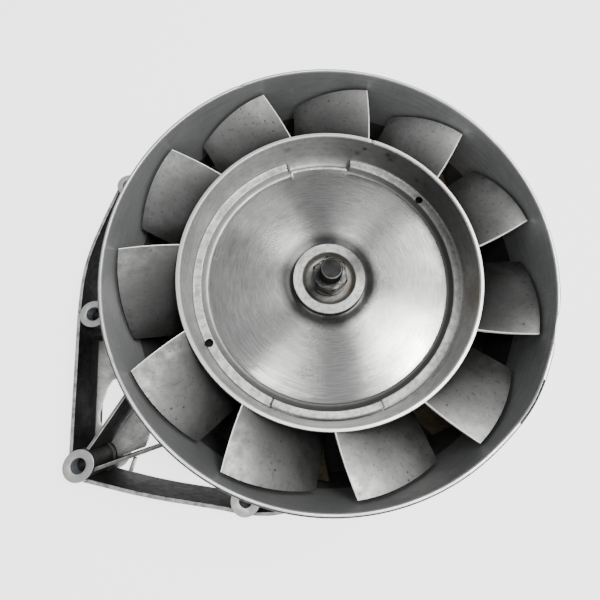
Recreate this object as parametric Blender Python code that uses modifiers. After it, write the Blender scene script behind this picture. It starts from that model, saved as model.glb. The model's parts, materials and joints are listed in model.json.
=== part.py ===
"""Axial cooling fan of an engine-driven generator, lying on its rear face with the intake up.

Built in metres, +Z along the shaft towards the intake. The rear bosses and the rear bead rest on z = 0.
"""
import math

import bmesh
import bpy

MM = 0.001

# Air passage and casing
BORE_R = 180 * MM
CASING_WALL = 4 * MM
CASING_DEPTH = 128 * MM
REAR_BEAD = (8 * MM, 8 * MM)  # how far it stands out, how tall it is
LIP_EDGE = 1 * MM
DENT_ANGLE = 341.5
DENT_DEPTH = 2.2 * MM
BULGE_ANGLE = 322.0
BULGE_HEIGHT = 1.4 * MM

# Rotor
BLADES = 11
TIP_R = 178 * MM
TIP_LEAD_Z = 110 * MM
TIP_TRAIL_Z = 81 * MM
FIRST_BLADE = 110.7  # degrees round from +X to the first leading edge's tip
BLADE_SWEEP = 23.1  # degrees that a tip covers, leading to trailing edge
ROOT_LAG = 5.0  # degrees that the root trails its own tip
ROOT_SWEEP = 31.0
ROOT_LEAD_Z = 98 * MM
ROOT_TRAIL_Z = 57 * MM
BLADE_THICK = 3.2 * MM
BLADE_CAMBER = 5 * MM
HUB_R = 133.5 * MM
HUB_TOP = 100 * MM
HUB_BOTTOM = 51 * MM
CUP_R = 129.8 * MM
LAND_Z = 63 * MM
LAND_IN_R = 120.2 * MM
PLATE_Z = 58 * MM
PLATE_R = 114.2 * MM
DISH = ((75 * MM, 56 * MM), (41 * MM, 52.2 * MM), (36 * MM, 51.2 * MM))  # the plate's height, falling to its boss
HUB_UNDERSIDE = 48.3 * MM
CORE_UNDERSIDE = 46 * MM  # round the shaft
CORE_R = 33 * MM
HUB_CHAMFER = 0.6 * MM
BOSS_R = 35 * MM
BOSS_Z = 59 * MM
RECESS_R = 26.4 * MM
RECESS_Z = 52 * MM
NOTCH = (79.5, 109.0)
PAD = (245.0, 291.0)
PAD_HEIGHT = 1.6 * MM
BALANCE_HOLES = ((123.5 * MM, 40.9), (125.2 * MM, 209.2))
BALANCE_HOLE_R = 3.8 * MM

# Shaft, nuts and drive
SHAFT_R = 10 * MM
JOURNAL_R = 12 * MM
REAR_THREAD_R = 8 * MM
SHAFT_Z = (4 * MM, 18.3 * MM, 92 * MM)  # its rear end, the start of its journal, its front end
SHAFT_CHAMFER = 0.8 * MM
NUT_FLATS = 30 * MM
NUT_HEIGHT = 18 * MM
NUT_TURN = 98.0
WASHER_R = 17 * MM
WASHER_THICK = 4 * MM
REAR_NUT_FLATS = 24 * MM
REAR_NUT_Z = (5 * MM, 12 * MM)
PULLEY_Z = (12.3 * MM, 33 * MM)
PULLEY_WEB = 5.7 * MM
GROOVES = (17.8 * MM, 27.6 * MM)  # heights of the two belt grooves
GROOVE = (8 * MM, 8 * MM, 4 * MM)  # depth, width at the rim, width at the root
PULLEY_R = 60 * MM
PULLEY_CUP_R = 44.5 * MM

# Stator behind the rotor
VANES = 8
VANE_LEAD = 269.0
VANE_Z = (9 * MM, 43 * MM)
VANE_SWEEP = 9.0
VANE_THICK = 3.5 * MM
STATOR_R = 131 * MM
STATOR_IN_R = 126 * MM
STATOR_Z = (6 * MM, 45 * MM)
WEB_Z = (37 * MM, 43 * MM)
VANE_ROOT_LAG = 4.0
HOUSING_R = 38 * MM
HOUSING_Z = (23.3 * MM, 32 * MM, 40.5 * MM)  # its narrow rear end, where it is full width, its front
BEARING_R = 22 * MM
BEARING_Z = (24 * MM, 40 * MM)

# Bracket cast beside the casing: bosses as (x, y, outer radius, bolt hole's radius) from the shaft axis
CORNER_BOSS = (-205.6 * MM, -157.7 * MM, 12.3 * MM, 6.1 * MM)
SIDE_BOSS = (-211.7 * MM, -35.1 * MM, 11.7 * MM, 6.1 * MM)
TOP_BOSS = (-196.4 * MM, 92.2 * MM, 11.2 * MM, 6.1 * MM)
LOW_BOSS = (-71.1 * MM, -185.7 * MM, 11.9 * MM, 5.4 * MM)
COLLAR_R = 15 * MM
COLLAR_TOP = 33 * MM
BOSS_TOP = 68 * MM
WALL_Z = (17 * MM, 66 * MM)
SIDE_WEB_TOP = 44 * MM
WALL_THICK = 2.8 * MM
OUTER_WALL_UPPER = (
    (-204.5 * MM, 94 * MM),
    (-206.7 * MM, 87 * MM),
    (-217.4 * MM, 51.3 * MM),
    (-224.2 * MM, 22.3 * MM),
    (-226.6 * MM, -4 * MM),
    (-225.3 * MM, -34 * MM),
)
OUTER_WALL_LOWER = ((-225.3 * MM, -34.3 * MM), (-213.6 * MM, -150 * MM))
BOTTOM_WALL_LEFT = (
    (-204 * MM, -167.6 * MM),
    (-166.5 * MM, -176.9 * MM),
    (-139.7 * MM, -182.6 * MM),
    (-113 * MM, -187.2 * MM),
    (-91.6 * MM, -190.8 * MM),
    (-77 * MM, -193.9 * MM),
    (-71 * MM, -195 * MM),
)
BOTTOM_WALL_RIGHT = (
    (-71 * MM, -195 * MM),
    (-59.5 * MM, -196 * MM),
    (-47.8 * MM, -195.9 * MM),
    (-33 * MM, -193.4 * MM),
    (-18 * MM, -189.6 * MM),
    (0, -184.4 * MM),
)
UPPER_RIB = ((-203.5 * MM, -150.3 * MM), (-155 * MM, -68.5 * MM))
LOWER_RIB = ((-196 * MM, -161.6 * MM), (-118 * MM, -136.4 * MM))
SIDE_WEB = ((-221 * MM, -53 * MM), (-174 * MM, -53 * MM))
TOP_WEB = ((-196.4 * MM, 92.2 * MM), (-160 * MM, 77.6 * MM))
TIE = ((-175 * MM, -158 * MM), (-178.1 * MM, -169.4 * MM))
TIE_THICK = 3 * MM
FLOOR_Z = (28 * MM, 32 * MM)
# The web between the walls, in millimetres from the shaft axis, round its two windows
SIDE_FLOOR = (
    (-221, -55.2), (-172, -55.2), (-170, -88), (-199, -89.5), (-204, -91.5), (-208, -99), (-210.5, -111),
    (-212, -121), (-211, -128), (-206, -133.5), (-198.2, -136.5), (-205.4, -148.2), (-211.6, -148),
)
CORNER_FLOOR = (
    (-201, -151.2), (-160.4, -82.8), (-150, -90), (-140, -118), (-152, -131), (-164, -134.5), (-165.5, -143),
    (-168, -149.8), (-195, -158.5),
)

GAP = 0.3 * MM
ROUND = 96
TRIM_STEPS = 32
ROOT_TUCK = 2 * MM  # how far a blade is drawn into its hub before it is trimmed to the hub's surface
VANE_TIP_GAP = 0.8 * MM

LEFT_REACH = 228 * MM
LOW_REACH = 197.6 * MM
AXIS = (
    (LEFT_REACH - BORE_R - REAR_BEAD[0]) / 2,
    (LOW_REACH - BORE_R - REAR_BEAD[0]) / 2,
)


def clear_scene():
    for obj in list(bpy.data.objects):
        bpy.data.objects.remove(obj, do_unlink=True)


def material(name, colour, roughness, metallic=1.0):
    mat = bpy.data.materials.new(name)
    mat.use_nodes = True
    shader = mat.node_tree.nodes["Principled BSDF"]
    shader.inputs["Base Color"].default_value = (*colour, 1.0)
    shader.inputs["Roughness"].default_value = roughness
    shader.inputs["Metallic"].default_value = metallic
    mat.diffuse_color = (*colour, 1.0)
    return mat


def add(name, mesh, mat, parent):
    obj = bpy.data.objects.new(name, mesh)
    bpy.context.collection.objects.link(obj)
    obj.parent = parent
    if mat:
        obj.data.materials.append(mat)
    return obj


def baked(obj):
    """Replaces an object's data with the mesh that its modifiers give."""
    bpy.context.view_layer.update()
    graph = bpy.context.evaluated_depsgraph_get()
    mesh = bpy.data.meshes.new_from_object(obj.evaluated_get(graph))
    name, parent = obj.name, obj.parent
    mat = obj.data.materials[0] if obj.data.materials else None
    bpy.data.objects.remove(obj, do_unlink=True)
    mesh.materials.clear()
    return add(name, mesh, mat, parent)


def around(radius, degrees):
    return radius * math.cos(math.radians(degrees)), radius * math.sin(math.radians(degrees))


def signed_area(points):
    pairs = zip(points, points[1:] + points[:1])
    return sum(a[0] * b[1] - b[0] * a[1] for a, b in pairs) / 2


def turned(name, profile, mat, parent, ring=True, steps=ROUND):
    """A profile of (radius, z) points turned about Z. A ring's profile is closed, a solid one starts on Z."""
    if signed_area(profile) > 0:
        profile = profile[::-1]
    mesh = bpy.data.meshes.new(name)
    count = len(profile)
    last = count if ring else count - 1
    edges = [(i, (i + 1) % count) for i in range(last)]
    mesh.from_pydata([(r, 0, z) for r, z in profile], edges, [])
    obj = add(name, mesh, mat, parent)
    screw = obj.modifiers.new("turn", "SCREW")
    screw.steps = screw.render_steps = steps
    screw.use_merge_vertices = True
    screw.merge_threshold = 0.00001
    screw.use_normal_calculate = False
    return obj


def plate(name, outline, low, high, mat, parent):
    """A flat outline of (x, y) points as a solid from low to high."""
    curve = bpy.data.curves.new(name, "CURVE")
    curve.dimensions = "2D"
    curve.fill_mode = "BOTH"
    curve.extrude = (high - low) / 2
    spline = curve.splines.new("POLY")
    spline.points.add(len(outline) - 1)
    for point, (x, y) in zip(spline.points, outline):
        point.co = (x, y, 0, 1)
    spline.use_cyclic_u = True
    obj = add(name, curve, mat, parent)
    obj.location.z = (low + high) / 2
    return welded(baked(obj), (low + high) / 2)


def welded(obj, height):
    """Joins the doubled edge points of a converted curve and moves it to its height."""
    shape = bmesh.new()
    shape.from_mesh(obj.data)
    bmesh.ops.remove_doubles(shape, verts=shape.verts, dist=0.000001)
    bmesh.ops.recalc_face_normals(shape, faces=shape.faces)
    shape.to_mesh(obj.data)
    shape.free()
    obj.location.z = height
    return obj


def cylinder(name, radius, low, high, place, parent, steps=32, mat=None):
    shape = bmesh.new()
    bmesh.ops.create_cone(
        shape, cap_ends=True, segments=steps, radius1=radius, radius2=radius, depth=high - low
    )
    mesh = bpy.data.meshes.new(name)
    shape.to_mesh(mesh)
    shape.free()
    obj = add(name, mesh, mat, parent)
    obj.location = (place[0], place[1], (low + high) / 2)
    return obj


def cut(obj, cutter):
    cutter.hide_render = True
    cutter.display_type = "WIRE"
    boolean = obj.modifiers.new("cut_" + cutter.name, "BOOLEAN")
    boolean.operation = "DIFFERENCE"
    boolean.solver = "EXACT"
    boolean.object = cutter


def arc(radius, start, end, steps, centre=(0, 0)):
    points = []
    for i in range(steps + 1):
        x, y = around(radius, start + (end - start) * i / steps)
        points.append((centre[0] + x, centre[1] + y))
    return points


def sector(inner, outer, start, end, steps):
    return arc(inner, start, end, steps) + arc(outer, end, start, steps)


def strip(points, width):
    """The outline of a wall of this width along a line of points."""
    sides = []
    for i, (x, y) in enumerate(points):
        before, after = points[max(i - 1, 0)], points[min(i + 1, len(points) - 1)]
        dx, dy = after[0] - before[0], after[1] - before[1]
        length = math.hypot(dx, dy)
        sides.append((x, y, -dy / length * width / 2, dx / length * width / 2))
    left = [(x + nx, y + ny) for x, y, nx, ny in sides]
    right = [(x - nx, y - ny) for x, y, nx, ny in sides]
    return left + right[::-1]


def smoothed(points, steps):
    """A curve through the points, with this many pieces between each two."""
    ends = [points[0], *points, points[-1]]
    line = []
    for i in range(1, len(ends) - 2):
        for step in range(steps):
            t = step / steps
            weights = (-t + 2 * t**2 - t**3, 2 - 5 * t**2 + 3 * t**3, t + 4 * t**2 - 3 * t**3, t**3 - t**2)
            near = ends[i - 1 : i + 3]
            line.append(tuple(sum(w * point[axis] for w, point in zip(weights, near)) / 2 for axis in (0, 1)))
    return [*line, points[-1]]


def bent_blade(name, inner, outer, lead, trail, lead_z, trail_z, camber, thick, mat, parent):
    """A cambered blade: lead and trail hold (root, tip) degrees, lead_z and trail_z their (root, tip) heights."""
    span, chord = 6, 8
    shape = bmesh.new()
    bmesh.ops.create_grid(shape, x_segments=span, y_segments=chord, size=0.5)
    for vert in shape.verts:
        u, v = vert.co.x + 0.5, vert.co.y + 0.5
        start = lead[0] + (lead[1] - lead[0]) * u
        end = trail[0] + (trail[1] - trail[0]) * u
        top = lead_z[0] + (lead_z[1] - lead_z[0]) * u
        low = trail_z[0] + (trail_z[1] - trail_z[0]) * u
        x, y = around(inner + (outer - inner) * u, start + (end - start) * v)
        vert.co = (x, y, top + (low - top) * v + camber * 4 * v * (1 - v))
    mesh = bpy.data.meshes.new(name)
    shape.to_mesh(mesh)
    shape.free()
    obj = add(name, mesh, mat, parent)
    solid = obj.modifiers.new("thickness", "SOLIDIFY")
    solid.thickness = thick
    solid.offset = 0
    return obj


def hexagon(flats, turn=0.0):
    corner = flats / math.sqrt(3)
    return [around(corner, turn + 60 * i) for i in range(6)]


def smooth_bump(angle, centre, half_width):
    away = abs((angle - centre + 180) % 360 - 180) / half_width
    return 0.5 + 0.5 * math.cos(math.pi * away) if away < 1 else 0.0


def casing_shell(mat, parent):
    outer = BORE_R + CASING_WALL
    out, tall = REAR_BEAD
    profile = [
        (BORE_R, 0),
        (BORE_R + out, 0),
        (BORE_R + out, tall),
        (outer, tall + out - CASING_WALL),
        (outer, CASING_DEPTH * 0.7),
        (outer, CASING_DEPTH - LIP_EDGE),
        (outer - LIP_EDGE, CASING_DEPTH),
        (BORE_R + LIP_EDGE, CASING_DEPTH),
        (BORE_R, CASING_DEPTH - LIP_EDGE),
        (BORE_R, CASING_DEPTH * 0.9),
    ]
    shell = baked(turned("casing_shell", profile, mat, parent))
    for vert in shell.data.vertices:
        x, y, z = vert.co
        near_lip = max(0.0, z / CASING_DEPTH - 0.72) / 0.28
        if near_lip and math.hypot(x, y) > BORE_R - MM:
            angle = math.degrees(math.atan2(y, x)) % 360
            push = BULGE_HEIGHT * smooth_bump(angle, BULGE_ANGLE, 14)
            push -= DENT_DEPTH * smooth_bump(angle, DENT_ANGLE, 7) * (math.hypot(x, y) > outer - 2 * MM)
            scale = 1 + push * near_lip / math.hypot(x, y)
            vert.co.x, vert.co.y = x * scale, y * scale
    return shell


def hub_cup(mat, parent):
    chamfer = HUB_CHAMFER
    profile = [
        (HUB_R, HUB_BOTTOM),
        (HUB_R, HUB_TOP - chamfer),
        (HUB_R - chamfer, HUB_TOP),
        (CUP_R + chamfer, HUB_TOP),
        (CUP_R, HUB_TOP - chamfer),
        (CUP_R, LAND_Z + 3 * MM),
        (CUP_R - MM, LAND_Z + MM),
        (CUP_R - 3 * MM, LAND_Z),
        (LAND_IN_R, LAND_Z),
        (PLATE_R + 2 * MM, PLATE_Z + MM),
        (PLATE_R, PLATE_Z),
        *DISH,
        (BOSS_R, DISH[-1][1] + 0.6 * MM),
        (BOSS_R, BOSS_Z - chamfer),
        (BOSS_R - chamfer, BOSS_Z),
        (RECESS_R + chamfer, BOSS_Z),
        (RECESS_R, BOSS_Z - chamfer),
        (RECESS_R - MM, RECESS_Z),
        (SHAFT_R + GAP, RECESS_Z),
        (SHAFT_R + GAP, CORE_UNDERSIDE),
        (CORE_R, CORE_UNDERSIDE),
        (CORE_R + 2 * MM, HUB_UNDERSIDE),
        (PLATE_R + 4 * MM, HUB_UNDERSIDE),
        (PLATE_R + 7 * MM, HUB_BOTTOM + 0.5 * MM),
        (HUB_R - 8 * MM, HUB_BOTTOM + 0.5 * MM),
        (HUB_R - 6 * MM, HUB_BOTTOM),
    ]
    cup = turned("hub_cup", profile, mat, parent)
    notch = sector(PLATE_R + 3 * MM, CUP_R - 0.5 * MM, *NOTCH, 8)
    cut(cup, plate("notch_cutter", notch, PLATE_Z + MM, LAND_Z + 9 * MM, None, parent))
    for number, (radius, angle) in enumerate(BALANCE_HOLES, 1):
        place = around(radius, angle)
        cutter = cylinder(f"hole_cutter_{number}", BALANCE_HOLE_R, LAND_Z - 6 * MM, LAND_Z + MM, place, parent, 16)
        cut(cup, cutter)
    return cup


def rotor(metal, steel, blade_metal, parent):
    hub_cup(metal, parent)
    root_cutter = cylinder("hub_clearance", HUB_R + GAP, HUB_BOTTOM - 9 * MM, HUB_TOP + 9 * MM, (0, 0), parent, ROUND)
    pad = sector(LAND_IN_R + MM, CUP_R - 3.3 * MM, *PAD, 12)
    plate("land_pad", pad, LAND_Z + GAP, LAND_Z + PAD_HEIGHT, metal, parent)
    for i in range(BLADES):
        turn = FIRST_BLADE + 360 * i / BLADES
        blade = bent_blade(
            f"blade_{i + 1:02d}",
            HUB_R - ROOT_TUCK,
            TIP_R,
            (turn - ROOT_LAG, turn),
            (turn - ROOT_LAG + ROOT_SWEEP, turn + BLADE_SWEEP),
            (ROOT_LEAD_Z, TIP_LEAD_Z),
            (ROOT_TRAIL_Z, TIP_TRAIL_Z),
            BLADE_CAMBER,
            BLADE_THICK,
            blade_metal,
            parent,
        )
        cut(blade, root_cutter)
    rear, journal, tip = SHAFT_Z
    shaft = [
        (0, rear),
        (REAR_THREAD_R, rear),
        (REAR_THREAD_R, journal),
        (JOURNAL_R, journal),
        (JOURNAL_R, CORE_UNDERSIDE - GAP),
        (SHAFT_R, CORE_UNDERSIDE - GAP),
        (SHAFT_R, tip - SHAFT_CHAMFER),
        (SHAFT_R - SHAFT_CHAMFER, tip),
        (0, tip),
    ]
    turned("rotor_shaft", shaft, steel, parent, ring=False, steps=32)
    washer_top = RECESS_Z + GAP + WASHER_THICK
    washer = [
        (SHAFT_R + GAP, RECESS_Z + GAP),
        (WASHER_R, RECESS_Z + GAP),
        (WASHER_R, washer_top),
        (SHAFT_R + GAP, washer_top),
    ]
    turned("front_washer", washer, steel, parent, steps=32)
    nut_base = washer_top + GAP
    nut = plate("front_nut", hexagon(NUT_FLATS, NUT_TURN), nut_base, nut_base + NUT_HEIGHT, steel, parent)
    bore = cylinder("nut_bore", SHAFT_R + GAP, nut_base - MM, nut_base + NUT_HEIGHT + MM, (0, 0), parent)
    cut(nut, bore)
    drive(metal, steel, parent)


def drive(metal, steel, parent):
    """The belt pulley and its nut under the bearing housing."""
    low, high = PULLEY_Z
    depth, mouth, root = GROOVE
    profile = [(REAR_THREAD_R + GAP, low), (PULLEY_R, low)]
    for middle in GROOVES:
        profile += [
            (PULLEY_R, middle - mouth / 2),
            (PULLEY_R - depth, middle - root / 2),
            (PULLEY_R - depth, middle + root / 2),
            (PULLEY_R, middle + mouth / 2),
        ]
    profile += [
        (PULLEY_R, high),
        (PULLEY_CUP_R, high),
        (PULLEY_CUP_R, low + PULLEY_WEB),
        (REAR_THREAD_R + GAP, low + PULLEY_WEB),
    ]
    turned("drive_pulley", profile, metal, parent, steps=64)
    nut = plate("rear_nut", hexagon(REAR_NUT_FLATS), *REAR_NUT_Z, steel, parent)
    cut(nut, cylinder("rear_nut_bore", REAR_THREAD_R + GAP, 0, low, (0, 0), parent))


def stator(metal, steel, parent):
    ring = [(STATOR_IN_R, z) for z in STATOR_Z] + [(STATOR_R, z) for z in reversed(STATOR_Z)]
    turned("stator_ring", ring, metal, parent)
    web = [(HOUSING_R + GAP, z) for z in WEB_Z] + [(STATOR_IN_R - GAP, z) for z in reversed(WEB_Z)]
    turned("stator_web", web, metal, parent)
    housing = [
        (BEARING_R + GAP, HOUSING_Z[0]),
        (BEARING_R + 6 * MM, HOUSING_Z[0]),
        (HOUSING_R, HOUSING_Z[1]),
        (HOUSING_R, HOUSING_Z[2]),
        (BEARING_R + GAP, HOUSING_Z[2]),
    ]
    turned("bearing_housing", housing, metal, parent, steps=64)
    bearing = [(r, z) for r in (JOURNAL_R + GAP, BEARING_R) for z in BEARING_Z]
    turned("shaft_bearing", [bearing[i] for i in (0, 2, 3, 1)], steel, parent, steps=48)
    root_cutter = cylinder("stator_clearance", STATOR_R + GAP, 0, STATOR_Z[1] + MM, (0, 0), parent, ROUND)
    for i in range(VANES):
        lead = VANE_LEAD + 360 * i / VANES
        vane = bent_blade(
            f"stator_vane_{i + 1}",
            STATOR_R - ROOT_TUCK,
            BORE_R - VANE_TIP_GAP,
            (lead - VANE_ROOT_LAG, lead),
            (lead - VANE_ROOT_LAG - VANE_SWEEP, lead - VANE_SWEEP),
            (VANE_Z[1] - 2 * MM, VANE_Z[1] - 2 * MM),
            (VANE_Z[0], VANE_Z[0]),
            0,
            VANE_THICK,
            metal,
            parent,
        )
        cut(vane, root_cutter)


def bracket_boss(name, place, mat, parent):
    """A bored post on the rear plane. The corner's has a wider foot with a rounded shoulder."""
    x, y, radius, bolt = place
    outside = [(radius, 0)]
    if name == "corner_boss":
        outside = [
            (COLLAR_R, 0),
            (COLLAR_R, COLLAR_TOP - 2 * MM),
            (COLLAR_R - 0.8 * MM, COLLAR_TOP),
            (radius, COLLAR_TOP),
        ]
    profile = [(bolt, 0), *outside, (radius, BOSS_TOP), (bolt, BOSS_TOP)]
    boss = baked(turned(name, profile, mat, parent, steps=32))
    boss.location = (x, y, 0)
    return boss


def clear_of(obj, places, parent):
    """Trims a wall where it meets posts and the casing, with the gap that separate solids keep."""
    for number, (x, y, radius, top) in enumerate(places, 1):
        cutter = cylinder(f"{obj.name}_trim_{number}", radius + GAP, -MM, top + GAP, (x, y), parent, TRIM_STEPS)
        cut(obj, cutter)
    shell = cylinder(f"{obj.name}_trim_shell", BORE_R + CASING_WALL + GAP, -MM, CASING_DEPTH, (0, 0), parent, ROUND)
    cut(obj, shell)


def bracket(metal, parent):
    posts = {
        "corner_boss": CORNER_BOSS,
        "side_boss": SIDE_BOSS,
        "top_boss": TOP_BOSS,
        "low_boss": LOW_BOSS,
    }
    for name, place in posts.items():
        boss = bracket_boss(name, place, metal, parent)
        if name == "low_boss":
            out, tall = REAR_BEAD
            bead = BORE_R + out + GAP, -MM, tall + out - CASING_WALL + GAP
            cut(boss, cylinder("low_boss_trim_bead", *bead, (0, 0), parent, ROUND))
            clear_of(boss, (), parent)
    corner, side, top, low = [(*place[:3], BOSS_TOP) for place in posts.values()]
    foot = (*CORNER_BOSS[:2], COLLAR_R, COLLAR_TOP)
    walls = {
        "outer_wall_upper": (smoothed(OUTER_WALL_UPPER, 4), (top, side)),
        "outer_wall_lower": (OUTER_WALL_LOWER, (side, corner, foot)),
        "bottom_wall_left": (smoothed(BOTTOM_WALL_LEFT, 3), (corner, foot, low)),
        "bottom_wall_right": (smoothed(BOTTOM_WALL_RIGHT, 4), (low,)),
        "upper_rib": (UPPER_RIB, (corner, foot)),
        "lower_rib": (LOWER_RIB, (corner, foot)),
        "side_web": (SIDE_WEB, (side,)),
        "top_web": (TOP_WEB, (top,)),
    }
    for name, (line, posts_met) in walls.items():
        low_z, high_z = WALL_Z if name != "side_web" else (WALL_Z[0], SIDE_WEB_TOP)
        wall = plate(name, strip(list(line), WALL_THICK), low_z, high_z, metal, parent)
        clear_of(wall, posts_met, parent)
    for name, outline in (("side_floor", SIDE_FLOOR), ("corner_floor", CORNER_FLOOR)):
        web = plate(name, [(x * MM, y * MM) for x, y in outline], *FLOOR_Z, metal, parent)
        clear_of(web, (foot,), parent)
    plate("tie_rib", strip(list(TIE), TIE_THICK), *FLOOR_Z, metal, parent)


def main():
    clear_scene()
    cast = material("cast_aluminium", (0.42, 0.42, 0.41), 0.5)
    machined = material("machined_aluminium", (0.62, 0.62, 0.61), 0.32)
    blade_metal = material("blade_aluminium", (0.5, 0.5, 0.49), 0.4)
    steel = material("dark_steel", (0.12, 0.115, 0.11), 0.45)
    casing = bpy.data.objects.new("casing_root", None)
    spinner = bpy.data.objects.new("rotor_axis", None)
    for empty in (casing, spinner):
        bpy.context.collection.objects.link(empty)
        empty.location = (AXIS[0], AXIS[1], 0)
    casing_shell(machined, casing)
    stator(cast, steel, casing)
    bracket(cast, casing)
    rotor(machined, steel, blade_metal, spinner)


main()
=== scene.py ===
import json
import math

import bmesh
import bpy
from mathutils import Euler, Matrix, Vector


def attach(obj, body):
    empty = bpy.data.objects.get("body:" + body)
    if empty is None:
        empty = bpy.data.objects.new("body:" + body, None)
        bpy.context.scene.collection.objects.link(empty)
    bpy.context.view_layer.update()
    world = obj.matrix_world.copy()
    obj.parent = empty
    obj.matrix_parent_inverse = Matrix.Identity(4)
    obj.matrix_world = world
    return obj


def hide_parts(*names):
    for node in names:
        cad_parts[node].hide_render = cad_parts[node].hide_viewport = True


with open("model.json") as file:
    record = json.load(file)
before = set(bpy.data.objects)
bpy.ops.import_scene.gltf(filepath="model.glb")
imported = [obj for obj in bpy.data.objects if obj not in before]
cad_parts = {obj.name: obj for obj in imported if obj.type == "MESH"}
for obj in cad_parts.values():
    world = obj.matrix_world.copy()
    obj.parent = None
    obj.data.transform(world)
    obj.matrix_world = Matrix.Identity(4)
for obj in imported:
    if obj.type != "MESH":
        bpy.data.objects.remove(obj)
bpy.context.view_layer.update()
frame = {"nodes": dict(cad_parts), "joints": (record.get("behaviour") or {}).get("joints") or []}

# The fan lies on its back on a pale table. The photograph looks down on its intake from a little below
# the shaft in the picture, so the camera is tilted by 17 degrees, with a wide lens close to the fan.
MM = 0.001
AXIS = Vector(frame["joints"][0]["pos_m"][:2])
SENSOR = 36.0

camera = bpy.data.objects.new("camera", bpy.data.cameras.new("camera"))
bpy.context.scene.collection.objects.link(camera)
camera.data.sensor_width = SENSOR
camera.data.lens = 24.0
camera.data.shift_x = -0.0360
camera.data.shift_y = -0.0654
camera.data.clip_start = 0.01
camera.location = (AXIS.x - 0.0264, AXIS.y - 0.0964, 0.4314)
camera.rotation_euler = Euler([math.radians(turn) for turn in (16.964, -2.705, -0.825)])
bpy.context.scene.camera = camera


# Plain soft studio light: the room is bright below the picture, with one dark patch at its left.
# Two high lamps draw the bright sectors that fan out across the hub's turned plate.
def wire(owner, value, socket):
    """Sets a socket to a number or a colour, or links it to another node's output."""
    if isinstance(value, bpy.types.NodeSocket):
        owner.node_tree.links.new(value, socket)
    else:
        socket.default_value = value


def node(owner, kind, settings=(), **inputs):
    """Adds a shader node. Inputs are named in lower case, or in0, in1 by number."""
    made = owner.node_tree.nodes.new("ShaderNode" + kind)
    for key, value in dict(settings).items():
        setattr(made, key, value)
    for key, value in inputs.items():
        if key.startswith("in") and key[2:].isdigit():
            wire(owner, value, made.inputs[int(key[2:])])
        else:
            wire(owner, value, made.inputs[key.replace("_", " ").title()])
    return made


def maths(owner, operation, first, second=0.0, clamp=False):
    return node(owner, "Math", {"operation": operation, "use_clamp": clamp}, in0=first, in1=second).outputs[0]


def ramp(owner, value, low, high, start=0.0, end=1.0):
    """Maps low to high onto start to end, and holds it there on both sides."""
    return node(owner, "MapRange", {}, value=value, in1=low, in2=high, in3=start, in4=end).outputs[0]


world = bpy.data.worlds.new("studio")
world.use_nodes = True
direction = node(world, "TexCoord").outputs["Generated"]
toward = node(world, "VectorMath", {"operation": "DOT_PRODUCT"}, in0=direction, in1=(0.4, -0.6, 0.65)).outputs["Value"]
patch = node(world, "VectorMath", {"operation": "DOT_PRODUCT"}, in0=direction, in1=(-0.72, -0.2, 0.66)).outputs["Value"]
room = maths(world, "MULTIPLY", ramp(world, toward, -0.7, 1.0, 0.16, 0.9), ramp(world, patch, 0.8, 0.96, 1.0, 0.3))
wire(world, (0.98, 0.99, 1.0, 1), world.node_tree.nodes["Background"].inputs["Color"])
wire(world, room, world.node_tree.nodes["Background"].inputs["Strength"])
bpy.context.scene.world = world


def panel(name, place, aim, size, power, colour):
    light = bpy.data.lights.new(name, "AREA")
    light.shape = "RECTANGLE"
    light.size, light.size_y = size
    light.energy = power
    light.color = colour
    lamp = bpy.data.objects.new(name, light)
    bpy.context.scene.collection.objects.link(lamp)
    lamp.location = place
    lamp.rotation_euler = (Vector(place) - Vector(aim)).to_track_quat("Z", "Y").to_euler()
    return lamp


panel("right_lamp", (0.4, 0.02, 1.2), (0.02, 0, 0.05), (0.3, 0.3), 10, (1.0, 0.99, 0.97))
panel("far_lamp", (0.5, 0.34, 1.05), (0.02, 0, 0.05), (0.35, 0.3), 2.5, (1.0, 0.99, 0.97))
panel("left_lamp", (-0.08, -0.04, 1.25), (0.02, 0, 0.05), (0.07, 0.25), 1.6, (1.0, 0.99, 0.97))


def new_material(name):
    mat = bpy.data.materials.new(name)
    mat.use_nodes = True
    return mat, mat.node_tree.nodes["Principled BSDF"]


def from_axis(mat):
    """Object coordinates measured from the shaft's axis."""
    place = node(mat, "TexCoord").outputs["Object"]
    return node(mat, "Mapping", {}, vector=place, location=(-AXIS.x, -AXIS.y, 0)).outputs[0]


def noise(mat, where, scale, detail=3.0, roughness=0.55):
    return node(mat, "TexNoise", {}, vector=where, scale=scale, detail=detail, roughness=roughness).outputs[0]


def mixed(mat, share, first, second):
    """A colour that goes from first to second."""
    made = node(mat, "Mix", {"data_type": "RGBA"})
    wire(mat, share, made.inputs[0])
    wire(mat, first, made.inputs[6])
    wire(mat, second, made.inputs[7])
    return made.outputs[2]


def bumped(mat, height, distance, below=None):
    made = node(mat, "Bump", {}, height=height, distance=distance, strength=1.0)
    if below:
        wire(mat, below, made.inputs["Normal"])
    return made.outputs[0]


def grey(level):
    return (level, level, level * 0.985, 1)


def shade_and_grime_in_corners(mat, base, reach, strength, floor=0.03):
    """Darkens a colour in corners and under edges: painted shade where little light reaches, and the oil and dust that
    collect there.
    """
    open_sky = node(mat, "AmbientOcclusion", {"samples": 6}, distance=reach * MM).outputs["AO"]
    return mixed(mat, ramp(mat, open_sky, 0.25, 0.85, strength, 0), base, grey(floor))
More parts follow.
